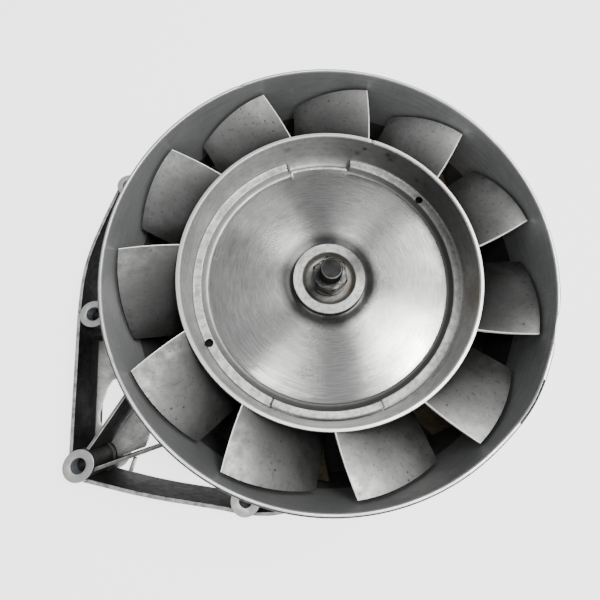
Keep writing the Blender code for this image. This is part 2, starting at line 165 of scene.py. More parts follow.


# The fan lies on a bright white sweep. A black disc under its opening is painted shade: it keeps the gaps between the
# blades dark.
sweep_mat, sweep_shader = new_material("white_sweep")
sweep_shader.inputs["Base Color"].default_value = (0.92, 0.92, 0.92, 1)
sweep_shader.inputs["Roughness"].default_value = 0.8
sweep_shader.inputs["Emission Color"].default_value = (1, 1, 1, 1)
sweep_shader.inputs["Emission Strength"].default_value = 2.2
bpy.ops.mesh.primitive_plane_add(size=8, location=(0, 0, 0))
sweep = bpy.context.object
sweep.name = "white_sweep"
sweep.data.materials.append(sweep_mat)
shade_disc_mat, shade_disc_shader = new_material("dark_mat")
shade_disc_shader.inputs["Base Color"].default_value = (0.02, 0.02, 0.022, 1)
shade_disc_shader.inputs["Roughness"].default_value = 0.9
bpy.ops.mesh.primitive_circle_add(vertices=128, radius=184 * MM, fill_type="NGON", location=(AXIS.x, AXIS.y, 0.3 * MM))
shade_disc = bpy.context.object
shade_disc.name = "dark_mat"
shade_disc.data.materials.append(shade_disc_mat)


# The casing is a ring of cast aluminium, turned inside and on its front lip, with a bead at its rear.
# Its lip is bruised: flattened on the right, swollen below that, with small nicks at the top left.
BORE_R, CASING_R, CASING_TOP = 180 * MM, 184 * MM, 128 * MM
CASING_PROFILE = (
    (180, 1), (181, 0), (187.2, 0), (188, 0.8), (188, 7.4), (187, 8.4), (185, 10.5), (184, 13), (184, 60), (184, 100),
    (184, 108), (184, 115), (184, 121), (184, 124.6), (183.8, 125.8), (183.3, 126.9), (182.8, 127.6), (182.2, 128),
    (181, 128), (180.6, 127.8), (180.1, 127), (180, 125.9), (180, 120), (180, 110), (180, 96), (180, 70), (180, 35),
)
CASING_STEPS = 360
LIP_NICKS = ((117, 1.3, 0.9), (121.5, 0.8, 0.6), (338, 1.2, 0.8), (36, 1.0, 0.4), (205, 1.1, 0.5))


def across_marks(mat, flat):
    """The direction across the turning marks, in which a turned surface spreads its highlights."""
    parts = node(mat, "SeparateXYZ", {}, vector=flat).outputs
    around = node(mat, "CombineXYZ", {}, in0=maths(mat, "MULTIPLY", parts[1], -1), in1=parts[0]).outputs[0]
    settings = {"vector_type": "VECTOR", "convert_from": "OBJECT", "convert_to": "WORLD"}
    around = node(mat, "VectorTransform", settings, vector=around).outputs[0]
    normal = node(mat, "NewGeometry").outputs["Normal"]
    return node(mat, "VectorMath", {"operation": "CROSS_PRODUCT"}, in0=around, in1=normal).outputs[0]


def stain_or_painted_light(mat, spot, base, centre, size, colour, strength):
    """A soft uneven patch of another colour round a point in millimetres from the shaft's axis, used for stains and for
    painted light and shade.
    """
    point = tuple(part * MM for part in centre)
    away = node(mat, "VectorMath", {"operation": "DISTANCE"}, in0=spot, in1=point).outputs["Value"]
    uneven = maths(mat, "MULTIPLY", maths(mat, "SUBTRACT", noise(mat, spot, 130, 4, 0.6), 0.5), size * MM * 1.3)
    share = ramp(mat, maths(mat, "ADD", away, uneven), size * MM * 0.25, size * MM, strength, 0)
    return mixed(mat, share, base, colour)


def turned_metal(name, colour, dark, roughness, rings=0.00002, spread=0.0, stains_and_painted_light=(), shade=(), lumps=0.0, metal=1.0, side_shade=(), corner_shade_and_grime=(7, 0.8), mottle=0.0, arc_marks=0.15):
    """Machined aluminium: marks round the shaft, clouds, thin scratches, stains and patches of painted light, rings of
    painted shade, painted shade on one side, and painted shade and grime in corners.
    """
    mat, shader = new_material(name)
    spot = from_axis(mat)
    flat = node(mat, "VectorMath", {"operation": "MULTIPLY"}, in0=spot, in1=(1, 1, 0)).outputs[0]
    radius = node(mat, "VectorMath", {"operation": "LENGTH"}, in0=flat).outputs["Value"]
    height = node(mat, "SeparateXYZ", {}, vector=spot).outputs[2]
    line = node(mat, "CombineXYZ", {}, in0=maths(mat, "ADD", radius, height)).outputs[0]
    marks = noise(mat, line, 2600, 2, 0.7)
    bands = noise(mat, line, 260, 3, 0.6)
    cloud = noise(mat, spot, 22, 6, 0.65)
    fine = noise(mat, spot, 420, 3, 0.6)
    long_way = node(mat, "Mapping", {}, vector=spot, scale=(60, 900, 60), rotation=(0, 0, 0.6)).outputs[0]
    short_way = node(mat, "Mapping", {}, vector=spot, scale=(1100, 90, 90), rotation=(0, 0, 0.35)).outputs[0]
    scratch = maths(
        mat, "MAXIMUM", ramp(mat, noise(mat, long_way, 1, 2, 0.4), 0.68, 0.73),
        ramp(mat, noise(mat, short_way, 1, 2, 0.4), 0.7, 0.74),
    )
    tone = maths(mat, "ADD", maths(mat, "MULTIPLY", cloud, 0.7), maths(mat, "MULTIPLY", bands, 0.3))
    base = mixed(mat, ramp(mat, tone, 0.36, 0.62), dark, colour)
    side = node(mat, "VectorMath", {"operation": "NORMALIZE"}, in0=flat).outputs[0]
    turned_way = node(mat, "VectorMath", {"operation": "MULTIPLY"}, in0=side, in1=(6, 6, 0)).outputs[0]
    outward = node(mat, "CombineXYZ", {}, in2=maths(mat, "MULTIPLY", maths(mat, "ADD", radius, height), 800)).outputs[0]
    arcs = node(mat, "VectorMath", {"operation": "ADD"}, in0=turned_way, in1=outward).outputs[0]
    base = mixed(mat, ramp(mat, noise(mat, arcs, 1, 3, 0.6), 0.3, 0.6, arc_marks, 0), base, grey(0.2))
    base = mixed(mat, maths(mat, "MULTIPLY", scratch, 0.22), base, grey(0.85))
    base = mixed(mat, ramp(mat, noise(mat, spot, 620, 4, 0.75), 0.56, 0.66, 0, 0.1 + mottle / 3), base, grey(0.08))
    if mottle:
        base = mixed(mat, ramp(mat, noise(mat, spot, 170, 5, 0.7), 0.45, 0.6, 0, mottle), base, grey(0.16))
    for centre, size, patch_colour, strength in stains_and_painted_light:
        base = stain_or_painted_light(mat, spot, base, centre, size, patch_colour, strength)
    for inner, low, high, top, strength in shade:
        ring = maths(mat, "MULTIPLY", ramp(mat, radius, low * MM, high * MM, strength, 0), ramp(mat, radius, inner * MM, (inner + 1) * MM))
        share = maths(mat, "MULTIPLY", ring, ramp(mat, height, top * MM, (top + 1) * MM, 1, 0))
        base = mixed(mat, maths(mat, "MULTIPLY", share, ramp(mat, cloud, 0.3, 0.6, 0.85, 1)), base, grey(0.02))
    # Painted shade: darkens the side of the surface that faces the given direction.
    for degrees, reach, strength in side_shade:
        toward = (math.cos(math.radians(degrees)), math.sin(math.radians(degrees)), 0)
        near = node(mat, "VectorMath", {"operation": "DOT_PRODUCT"}, in0=side, in1=toward).outputs["Value"]
        base = mixed(mat, ramp(mat, near, reach, 1, 0, strength), base, grey(0.05))
    base = shade_and_grime_in_corners(mat, base, *corner_shade_and_grime)
    wire(mat, base, shader.inputs["Base Color"])
    rough = ramp(mat, cloud, 0.3, 0.7, roughness + 0.1, roughness - 0.06)
    rough = maths(mat, "ADD", rough, ramp(mat, fine, 0.3, 0.7, 0, 0.01 if spread > 0.9 else 0.06))
    wire(mat, rough, shader.inputs["Roughness"])
    shader.inputs["Metallic"].default_value = metal
    if spread:
        shader.inputs["Anisotropic"].default_value = spread
        wire(mat, across_marks(mat, flat), shader.inputs["Tangent"])
    skin = bumped(mat, marks, rings)
    if lumps:
        skin = bumped(mat, noise(mat, spot, 34, 0), lumps, skin)
    skin = bumped(mat, maths(mat, "ADD", fine, maths(mat, "MULTIPLY", scratch, -0.15)), rings, skin)
    wire(mat, skin, shader.inputs["Normal"])
    return mat


BROWN, SOOT_AND_SHADOW = (0.2, 0.15, 0.085, 1), grey(0.03)
# The casing wall is painted darker on its upper-left and bottom sides, and below 62 mm, as shade.
casing_metal = turned_metal(
    "casing_metal", (0.62, 0.64, 0.65, 1), (0.42, 0.43, 0.43, 1), 0.34, 0.000008, 0.75,
    stains_and_painted_light=(
        ((60, -170, 108), 26, grey(0.95), 0.5), ((165, -70, 112), 20, grey(0.2), 0.4), ((176, 30, 105), 18, grey(0.9), 0.35),
        ((-60, -168, 100), 22, grey(0.2), 0.4), ((-176, -30, 110), 24, grey(0.95), 0.4), ((20, 178, 108), 22, grey(0.2), 0.35),
        ((-130, 122, 112), 20, grey(0.9), 0.3), ((-140, -112, 104), 24, BROWN, 0.2), ((120, 133, 110), 20, grey(0.9), 0.3),
    ),
    shade=((0, 181, 182, 62, 0.8),), metal=0.65, arc_marks=0.3, side_shade=((128, 0.3, 0.45), (-90, 0.3, 0.45)), corner_shade_and_grime=(9, 0.6)
)
lip_metal = turned_metal("lip_metal", grey(0.85), grey(0.5), 0.4, 0.00001, corner_shade_and_grime=(3, 0.3))


def spun(name, profile, steps, centre=(0, 0)):
    """Turns a closed profile of (radius, height) in millimetres about an upright axis."""
    shape = bmesh.new()
    points = [shape.verts.new((radius * MM, 0, height * MM)) for radius, height in profile]
    edges = [shape.edges.new((points[i - 1], points[i])) for i in range(len(points))]
    bmesh.ops.spin(
        shape, geom=points + edges, axis=(0, 0, 1), cent=(0, 0, 0), steps=steps, angle=math.tau, use_merge=True
    )
    bmesh.ops.remove_doubles(shape, verts=shape.verts, dist=0.000001)
    bmesh.ops.recalc_face_normals(shape, faces=shape.faces)
    bmesh.ops.translate(shape, verts=shape.verts, vec=(AXIS.x + centre[0], AXIS.y + centre[1], 0))
    return shape


def finished(name, shape, mats, body, replaced=(), crease=32):
    """Makes the object of a mesh, gives it its materials and fixes it to its body."""
    mesh = bpy.data.meshes.new(name)
    shape.to_mesh(mesh)
    shape.free()
    piece = bpy.data.objects.new(name, mesh)
    bpy.context.scene.collection.objects.link(piece)
    for mat in mats:
        mesh.materials.append(mat)
    mesh.shade_smooth()
    mesh.set_sharp_from_angle(angle=math.radians(crease))
    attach(piece, body)
    if replaced:
        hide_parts(*replaced)
    return piece


def angle_from(degrees, centre):
    return abs((degrees - centre + 180) % 360 - 180)


def bell(away, half_width):
    return 0.5 + 0.5 * math.cos(math.pi * away / half_width) if away < half_width else 0.0


def polar(vert):
    x, y = vert.co.x - AXIS.x, vert.co.y - AXIS.y
    return math.hypot(x, y), math.degrees(math.atan2(y, x)) % 360


def push_out(vert, amount):
    radius, _ = polar(vert)
    scale = 1 + amount / radius
    vert.co.x = AXIS.x + (vert.co.x - AXIS.x) * scale
    vert.co.y = AXIS.y + (vert.co.y - AXIS.y) * scale


def cast_metal(name, colour, dark, roughness, dirt=0.35, machined_and_lit_above=None, machined_and_lit_tones=(0.4, 0.55), metal=1.0, corner_shade_and_grime=(12, 0.9), gloss=0.5, edges=0.0):
    """Sand-cast aluminium: a grainy skin with darker stains, and painted shade and grime in corners. Above a height,
    faces that look up are lighter: machined faces on the posts, and painted highlights on the as-cast fronts of walls,
    ribs and vanes.
    """
    mat, shader = new_material(name)
    spot = from_axis(mat)
    grain = noise(mat, spot, 900, 4, 0.7)
    lumps = noise(mat, spot, 160, 4, 0.6)
    cloud = noise(mat, spot, 26, 5, 0.65)
    tone = maths(mat, "ADD", maths(mat, "MULTIPLY", cloud, 0.65), maths(mat, "MULTIPLY", lumps, 0.35))
    base = mixed(mat, ramp(mat, tone, 0.36, 0.62), dark, colour)
    base = mixed(mat, ramp(mat, grain, 0.3, 0.45, dirt, 0), base, grey(0.06))
    rough = ramp(mat, lumps, 0.3, 0.7, roughness + 0.08, roughness - 0.05)
    if machined_and_lit_above:
        height = node(mat, "SeparateXYZ", {}, vector=spot).outputs[2]
        facing = node(mat, "SeparateXYZ", {}, vector=node(mat, "NewGeometry").outputs["Normal"]).outputs[2]
        bright = maths(mat, "MULTIPLY", ramp(mat, height, machined_and_lit_above - 0.0005, machined_and_lit_above), ramp(mat, facing, 0.6, 0.9))
        # With edges, flat tops lose part of the painted highlight, so it stays on the rounded edges.
        bright = maths(mat, "MULTIPLY", bright, ramp(mat, facing, 0.93, 0.985, 1, 1 - edges))
        base = mixed(mat, bright, base, mixed(mat, ramp(mat, lumps, 0.35, 0.6), grey(machined_and_lit_tones[0]), grey(machined_and_lit_tones[1])))
        rough = maths(mat, "SUBTRACT", rough, maths(mat, "MULTIPLY", bright, 0.1))
    wire(mat, shade_and_grime_in_corners(mat, base, *corner_shade_and_grime), shader.inputs["Base Color"])
    wire(mat, rough, shader.inputs["Roughness"])
    shader.inputs["Metallic"].default_value = metal
    shader.inputs["Specular IOR Level"].default_value = gloss
    wire(mat, bumped(mat, lumps, 0.0002, bumped(mat, grain, 0.00004)), shader.inputs["Normal"])
    return mat


casing_outside = cast_metal("casing_outside", grey(0.1), grey(0.045), 0.55, metal=0.5, gloss=0.2)
# The outer side of the lip is painted dark as a shadow.
lip_side = cast_metal("lip_side", grey(0.07), grey(0.015), 0.6, metal=0.5, gloss=0.1, corner_shade_and_grime=(3, 0.1))
casing = spun("casing_shell", CASING_PROFILE, CASING_STEPS)
for vert in casing.verts:
    radius, degrees = polar(vert)
    near_lip = max(0.0, vert.co.z / CASING_TOP - 0.72) / 0.28
    push = 1.4 * MM * bell(angle_from(degrees, 322), 14)
    if radius > 182 * MM:
        push -= 2.2 * MM * bell(angle_from(degrees, 341.5), 7)
    push_out(vert, push * near_lip)
    if vert.co.z > 124 * MM:
        for centre, half_width, depth in LIP_NICKS:
            vert.co.z -= depth * MM * bell(angle_from(degrees, centre), half_width)
for face in casing.faces:
    middle = face.calc_center_median()
    radius = math.hypot(middle.x - AXIS.x, middle.y - AXIS.y)
    if radius > 182.4 * MM:
        face.material_index = 3 if middle.z > 120 * MM else 2
    elif middle.z > 127.6 * MM:
        face.material_index = 1
finished(
    "casing_ring", casing, (casing_metal, lip_metal, casing_outside, lip_side), "casing",
    ["casing_shell"],
)


# Behind the rotor, eight straight vanes join the casing to a hub that carries the shaft's bearing.
# They are part of the same sand casting, dull and dirty, with softened edges.
# The fronts of the stator and its vanes above 44 mm are painted white as a highlight.
stator_metal = cast_metal(
    "stator_metal", (0.46, 0.4, 0.29, 1), (0.2, 0.175, 0.12, 1), 0.5, 0.35, 44 * MM, (1.0, 1.0), 0.4, (4, 0.35)
)


def softened(node_name, mats, width, body="casing", bevel_angle=30):
    """A copy of a CAD solid with its doubled points merged and its edges rounded."""
    shape = bmesh.new()
    shape.from_mesh(frame["nodes"][node_name].data)
    bmesh.ops.remove_doubles(shape, verts=shape.verts, dist=0.00001)
    bmesh.ops.dissolve_limit(shape, angle_limit=math.radians(1), verts=shape.verts, edges=shape.edges)
    sharp = [edge for edge in shape.edges if len(edge.link_faces) == 2 and edge.calc_face_angle() > math.radians(bevel_angle)]
    bmesh.ops.bevel(
        shape, geom=sharp, offset=width, affect="EDGES", segments=2, profile=0.5, material=-1, clamp_overlap=True
    )
    return finished(node_name + "_cast", shape, mats, body, [node_name], 28)


for name in ("stator_ring", "stator_web", "bearing_housing"):
    softened(name, (stator_metal,), 0.8 * MM)
vane_metal = cast_metal(
    "vane_metal", (0.27, 0.23, 0.145, 1), (0.1, 0.085, 0.055, 1), 0.5, 0.35, 43.8 * MM, (1.0, 1.0), 0.3, (4, 0.2), 0.2
)
for number in range(1, 9):
    softened(f"stator_vane_{number}", (vane_metal,), 0.6 * MM)
bearing_steel = turned_metal("bearing_steel", grey(0.3), grey(0.18), 0.3)
softened("shaft_bearing", (bearing_steel,), 0.5 * MM)


# The bracket at the left is cast with the casing: bored posts joined by thin walls and a web.
# The posts' faces are machined. The walls and ribs are painted near black as shade, their front edges are dull, as
# cast, with painted highlights, and the hollows between are dark.
BOSSES = {
    "corner_boss": (-205.6, -157.7, 6.1), "side_boss": (-211.7, -35.1, 6.1), "top_boss": (-196.4, 92.2, 6.1),
    "low_boss": (-71.1, -185.7, 5.4),
}
boss_metal = cast_metal("boss_metal", grey(0.1), grey(0.045), 0.5, 0.4, 67 * MM, (0.5, 0.62), 0.7)
bore_metal = turned_metal(
    "bore_metal", (0.5, 0.54, 0.58, 1), (0.34, 0.37, 0.4, 1), 0.4, metal=0.6, corner_shade_and_grime=(10, 0.9), shade=((0, 399, 400, 57, 1.0),)
)
wall_shade_and_highlight = cast_metal(
    "wall_shade_and_highlight", grey(0.022), grey(0.004), 0.6, 0.3, 65.8 * MM, (0.2, 0.5), 0.1, (14, 0.9), 0.04
)
rib_shade_and_highlight = cast_metal(
    "rib_shade_and_highlight", grey(0.05), grey(0.01), 0.55, 0.5, 65.4 * MM, (0.5, 0.9), 0.3, (14, 0.9), 0.1, edges=0.8
)
web_metal = cast_metal("web_metal", grey(0.9), grey(0.4), 0.5, 0.6, metal=0.7, corner_shade_and_grime=(14, 0.7))
for name, (x, y, bolt) in BOSSES.items():
    post = softened(name, (boss_metal, bore_metal), 0.25 * MM)
    for face in post.data.polygons:
        corners = [post.data.vertices[number].co for number in face.vertices]
        reach = max(math.hypot(corner.x - AXIS.x - x * MM, corner.y - AXIS.y - y * MM) for corner in corners)
        if reach < (bolt + 0.1) * MM:
            face.material_index = 1
for name in ("outer_wall_upper", "outer_wall_lower", "bottom_wall_left", "bottom_wall_right", "side_web", "top_web"):
    softened(name, (wall_shade_and_highlight,), 0.6 * MM)
for name in ("upper_rib", "lower_rib"):
    softened(name, (rib_shade_and_highlight,), 0.8 * MM)
for name in ("side_floor", "corner_floor", "tie_rib"):
    softened(name, (web_metal,), 0.5 * MM)


# The rotor's hub is a machined cup. Its floor is a dished plate with a raised boss round the nut and a
# land at its edge, which has one notch, one raised part and two drilled balance holes.
HUB_PROFILE = (
    [(133.5, 51.6), (133.5, 60), (133.5, 75), (133.5, 90), (133.5, 99.2), (132.8, 100), (130.7, 100), (129.9, 99.4)]
    + [(129.8, 98), (129.8, 92), (129.8, 86), (129.8, 80), (129.8, 76), (129.8, 73), (129.8, 70), (129.7, 67.5)]
    + [(129.4, 65.6), (128.7, 64.2), (127.6, 63.3), (126.4, 63), (125.6, 63), (124.6, 63), (123.4, 63), (122.2, 63)]
    + [(121.2, 63), (120.5, 62.8), (119.9, 62.2), (119.2, 61), (118.2, 59.4), (117.2, 58.2), (116.2, 57.5)]
    + [(115.4, 57.3), (114.8, 57.6), (114.3, 58.1), (113.6, 58.2), (110, 58.1), (104, 57.9), (96, 57.4), (86, 56.7)]
    + [(76, 56), (66, 55.1), (56, 54.1), (48, 53.2), (44, 52.7), (41, 52.2), (39, 51.6), (37, 51.2), (36, 51.3)]
    + [(35.3, 51.9), (35, 53.2), (35, 56), (35, 58.3), (34.4, 59), (31, 59), (26.2, 59), (25.4, 58.5), (24.6, 56.4)]
    + [(23.8, 54), (22.9, 52.7), (21.6, 52), (18, 52), (10.4, 52), (10.4, 46.2), (33, 46.2), (35, 48.4), (60, 48.4)]
    + [(118, 48.4), (121, 51.7), (125, 51.7), (128, 51.2)]
)
# Where the notch is, the plate ends in a rounded ridge and a dark hollow takes the land's place.
NOTCH_PROFILE = dict(
    [((129.8, 80), (130.1, 80)), ((129.8, 76), (130.4, 76)), ((129.8, 73), (130.6, 73)), ((129.8, 70), (130.6, 70))]
    + [((129.7, 67.5), (130.4, 67.5)), ((129.4, 65.6), (130.1, 65.6)), ((128.7, 64.2), (129.7, 64.2))]
    + [((127.6, 63.3), (129.2, 63)), ((126.4, 63), (128.6, 61.8)), ((125.6, 63), (127.9, 60.7))]
    + [((124.6, 63), (127.1, 59.7)), ((123.4, 63), (126.2, 58.8)), ((122.2, 63), (125.3, 58))]
    + [((121.2, 63), (124.4, 57.4)), ((120.5, 62.8), (123.6, 57)), ((119.9, 62.2), (122.9, 56.8))]
    + [((119.2, 61), (122.2, 56.9)), ((118.2, 59.4), (121.6, 57.3)), ((117.2, 58.2), (121.1, 57.9))]
    + [((116.2, 57.5), (120.6, 58.5)), ((115.4, 57.3), (120.1, 58.9)), ((114.8, 57.6), (119.5, 59))]
    + [((114.3, 58.1), (118.8, 58.9)), ((113.6, 58.2), (117.8, 58.5))]
)
HUB_STEPS = 720
NOTCH, PAD, STEP_DOWN = (79.5, 109.0), (245.0, 291.0), (291.0, 337.5)


def span_mask(degrees, start, end, soft):
    """One between two angles, falling to nought over soft degrees at each end."""
    inside = min((degrees - start) % 360, (end - degrees) % 360)
    if (degrees - start) % 360 > (end - start) % 360:
        inside = -min(angle_from(degrees, start), angle_from(degrees, end))
    t = min(1.0, max(0.0, inside / soft + 0.5))
    return t * t * (3 - 2 * t)


# The plate is painted darker on its upper-left and bottom sides and in a ring round the boss as shade, and paler in a
# patch at its right as a highlight.
hub_metal = turned_metal(
    "hub_metal", grey(0.58), grey(0.47), 0.22, 0.0000015, 0.95,
    stains_and_painted_light=(
        ((60, 110.5, 88), 9, SOOT_AND_SHADOW, 0.6), ((97.8, 94.5, 80), 8, SOOT_AND_SHADOW, 0.6), ((128.5, -21.3, 85), 22, BROWN, 0.55),
        ((78, -22, 56), 30, grey(0.75), 0.5),
    ),
    shade=((34, 43, 51, 57.5, 0.96),), lumps=0.0001, arc_marks=0.5, corner_shade_and_grime=(3, 0.4), side_shade=((135, -0.2, 0.66), (-95, 0.7, 0.35)),
)
# The hub's wall is painted pale across its bottom as painted light, and darker on its upper-right side as shade.
wall_sheen = turned_metal(
    "hub_wall_metal", grey(0.62), grey(0.4), 0.42, 0.00002, 0.6,
    stains_and_painted_light=(
        ((60, 112, 88), 9, SOOT_AND_SHADOW, 0.6), ((97.8, 90, 80), 8, SOOT_AND_SHADOW, 0.6), ((127, -21, 85), 24, BROWN, 0.55),
        ((-40, 124, 84), 6, SOOT_AND_SHADOW, 0.4), ((10, -130, 80), 90, grey(0.95), 0.85), ((36, 125, 86), 3.5, SOOT_AND_SHADOW, 0.9),
        ((58, 116, 90), 4, SOOT_AND_SHADOW, 0.9), ((62, 114, 84), 3, SOOT_AND_SHADOW, 0.9), ((88, 95, 78), 4.5, SOOT_AND_SHADOW, 0.9),
        ((30, 126, 76), 5, SOOT_AND_SHADOW, 0.6),
    ),
    metal=0.65, side_shade=((42, 0.6, 0.85),), mottle=0.25,
)
# The land is painted darker on its upper-right side as shade.
land_metal = turned_metal(
    "land_metal", grey(0.88), grey(0.62), 0.55, 0.00001, metal=0.5, corner_shade_and_grime=(4, 0.5), mottle=0.5, side_shade=((25, 0.75, 0.8),)
)
# The dark patch at the lower left of the nut is its painted shadow; the brown patches are stains.
recess_metal = turned_metal(
    "recess_metal", (0.37, 0.37, 0.35, 1), (0.24, 0.235, 0.215, 1), 0.5, 0.00001, metal=0.7, mottle=0.6, corner_shade_and_grime=(4, 0.4),
    stains_and_painted_light=(((22, -8, 53), 10, BROWN, 0.6), ((6, 23, 54), 10, BROWN, 0.5), ((-15, -14, 53), 13, SOOT_AND_SHADOW, 0.8)),
)
# The land's inner slope is painted darker on its right and lower-right sides as shade.
slope_metal = turned_metal(
    "slope_metal", grey(0.6), grey(0.42), 0.4, 0.000004, 0.6, metal=0.8, corner_shade_and_grime=(4, 0.5), side_shade=((15, -0.2, 0.93), (-72, -0.15, 0.8)), mottle=0.2
)
hub_rim_metal = turned_metal("hub_rim_metal", grey(0.98), grey(0.8), 0.4, 0.00001, corner_shade_and_grime=(3, 0.3))
hub = spun("hub_cup", HUB_PROFILE, HUB_STEPS)
for vert in hub.verts:
    radius, degrees = polar(vert)
    height = vert.co.z
    in_notch = span_mask(degrees, *NOTCH, 2.4)
    place = (round(radius / MM, 1), round(height / MM, 1))
    if in_notch and place in NOTCH_PROFILE:
        away, level = NOTCH_PROFILE[place]
        push_out(vert, (away * MM - radius) * in_notch)
        vert.co.z += (level * MM - height) * in_notch
    elif 119.6 * MM < radius < 127 * MM and 58 * MM < height < 66 * MM:
        flat_part = min(1.0, (127 * MM - radius) / (0.8 * MM)) * min(1.0, (radius - 119.6 * MM) / (0.8 * MM))
        vert.co.z += 2.2 * MM * span_mask(degrees, *PAD, 0.4) * flat_part
        vert.co.z -= 0.5 * MM * span_mask(degrees, *STEP_DOWN, 0.5) * flat_part
    if height > 99 * MM:
        vert.co.z -= 0.9 * MM * bell(angle_from(degrees, 71.9), 0.9)
hub.normal_update()
for face in hub.faces:
    middle = face.calc_center_median()
    radius = math.hypot(middle.x - AXIS.x, middle.y - AXIS.y)
    if middle.z > 98.6 * MM:
        face.material_index = 1
    elif radius < 26 * MM and middle.z > 51 * MM:
        face.material_index = 4
    elif radius > 120.5 * MM and NOTCH[0] < math.degrees(math.atan2(middle.y - AXIS.y, middle.x - AXIS.x)) < NOTCH[1]:
        face.material_index = 2
    elif middle.z > 58.6 * MM and face.normal.z > 0.8:
        face.material_index = 3
    elif 114 * MM < radius < 120 * MM and middle.z > 57 * MM:
        face.material_index = 5
    elif radius > 128.5 * MM:
        face.material_index = 2
hub_piece = finished(
    "hub", hub, (hub_metal, hub_rim_metal, wall_sheen, land_metal, recess_metal, slope_metal), "rotor",
    ["hub_cup", "land_pad"],
)


def carved(piece, name, cutter_shape, operation, mats=()):
    """Cuts a piece with a hidden shape, or keeps only what is inside that shape."""
    mesh = bpy.data.meshes.new(name)
    cutter_shape.to_mesh(mesh)
    cutter_shape.free()
    for mat in mats:
        mesh.materials.append(mat)
    cutter = bpy.data.objects.new(name, mesh)
    bpy.context.scene.collection.objects.link(cutter)
    boolean = piece.modifiers.new(name, "BOOLEAN")
    boolean.object, boolean.solver, boolean.operation = cutter, "EXACT", operation
    boolean.material_mode = "TRANSFER"
    bpy.context.view_layer.update()
    done = bpy.data.meshes.new_from_object(piece.evaluated_get(bpy.context.evaluated_depsgraph_get()))
    piece.modifiers.clear()
    piece.data = done
    done.shade_smooth()
    done.set_sharp_from_angle(angle=math.radians(32))
    bpy.data.objects.remove(cutter)


# The balance holes' walls are painted near black as the shade inside them.
hole_dirt, hole_shader = new_material("hole_dirt")
hole_shader.inputs["Base Color"].default_value = grey(0.008)
hole_shader.inputs["Roughness"].default_value = 0.9
for number, (radius, degrees) in enumerate(((123.5 * MM, 40.9), (125.2 * MM, 209.2)), 1):
    turn = math.radians(degrees)
    drill = bmesh.new()
    bmesh.ops.create_cone(
        drill, cap_ends=True, segments=40, radius1=3.8 * MM, radius2=3.8 * MM, depth=14 * MM,
        matrix=Matrix.Translation((AXIS.x + radius * math.cos(turn), AXIS.y + radius * math.sin(turn), 62 * MM)),
    )
    carved(hub_piece, f"balance_hole_{number}", drill, "DIFFERENCE", (hole_dirt,))


# Eleven cambered blades are cast on the hub. Each leans back from a straight leading edge, worn bright and painted with
# a highlight, and its skin is dull with small dark pits. Each tip carries a broken painted highlight.
BLADES, FIRST_TIP = 11, 110.7
INNER_R, TIP_R, ROOT_START = 131.5 * MM, 178 * MM, 0.039
ROOT_LAG, ROOT_SWEEP, TIP_SWEEP = 5.0, 31.0, 23.1
SPAN_CUTS, CHORD_CUTS = 16, 30


def blade_metal(name, colour, dark, roughness, root_shade, shade_end):
    mat, shader = new_material(name)
    spot = from_axis(mat)
    grain = noise(mat, spot, 1400, 3, 0.6)
    lumps = noise(mat, spot, 120, 4, 0.6)
    cloud = noise(mat, spot, 18, 5, 0.6)
    pits = node(mat, "TexVoronoi", {"feature": "F1"}, vector=spot, scale=260, randomness=1.0)
    size = node(mat, "SeparateColor", {}, in0=pits.outputs["Color"]).outputs[0]
    hole = maths(mat, "LESS_THAN", pits.outputs["Distance"], maths(mat, "MULTIPLY", maths(mat, "POWER", size, 5), 0.28))
    tone = maths(mat, "ADD", maths(mat, "MULTIPLY", cloud, 0.6), maths(mat, "MULTIPLY", lumps, 0.4))
    base = mixed(mat, ramp(mat, tone, 0.36, 0.62), dark, colour)
    flat = node(mat, "VectorMath", {"operation": "MULTIPLY"}, in0=spot, in1=(1, 1, 0)).outputs[0]
    radius = node(mat, "VectorMath", {"operation": "LENGTH"}, in0=flat).outputs["Value"]
    base = mixed(mat, ramp(mat, radius, 134 * MM, shade_end, root_shade, 0), base, grey(0.04))
    base = mixed(mat, ramp(mat, grain, 0.3, 0.42, 0.25, 0), base, grey(0.08))
    base = mixed(mat, maths(mat, "MULTIPLY", hole, 0.7), base, grey(0.04))
    base = mixed(mat, ramp(mat, noise(mat, spot, 330, 5, 0.75), 0.55, 0.68, 0, 0.6), base, grey(0.05))
    wire(mat, shade_and_grime_in_corners(mat, base, 16, 0.85), shader.inputs["Base Color"])
    wire(mat, ramp(mat, lumps, 0.3, 0.7, roughness + 0.07, roughness - 0.06), shader.inputs["Roughness"])
    shader.inputs["Metallic"].default_value = 1.0
    dents = maths(mat, "ADD", grain, maths(mat, "MULTIPLY", hole, -3))
    wire(mat, bumped(mat, lumps, 0.0001, bumped(mat, dents, 0.000012)), shader.inputs["Normal"])
    return mat


# Each blade's tone is painted lighter or darker for the light it catches where it stands, and each is painted darker
# towards the root as shade, further out on the first five.
BLADE_LIGHT_AND_SHADE = (0.42, 0.24, 0.12, 0.22, 0.22, 0.34, 0.36, 0.19, 0.36, 0.46, 0.32)
edge_wear_and_highlight = cast_metal("edge_wear_and_highlight", grey(1.0), grey(0.95), 0.5, 0.1, metal=0.2, corner_shade_and_grime=(3, 0.1))
tip_wear_and_highlight = cast_metal("tip_wear_and_highlight", grey(0.8), grey(0.12), 0.45, 0.3, corner_shade_and_grime=(3, 0.2))


def blade_place(tip_angle, u, v):
    """A point of the blade's middle surface, u from root to tip, v from leading to trailing edge."""
    start = tip_angle - ROOT_LAG * (1 - u)
    end = tip_angle - ROOT_LAG + ROOT_SWEEP + (TIP_SWEEP - ROOT_SWEEP + ROOT_LAG) * u
    turn = math.radians(start + (end - start) * v)
    radius = INNER_R + (TIP_R - INNER_R) * u
    top, low = 98 + 12 * u, 57 + 24 * u
    height = (top + (low - top) * v + 20 * v * (1 - v)) * MM
    return AXIS.x + radius * math.cos(turn), AXIS.y + radius * math.sin(turn), height


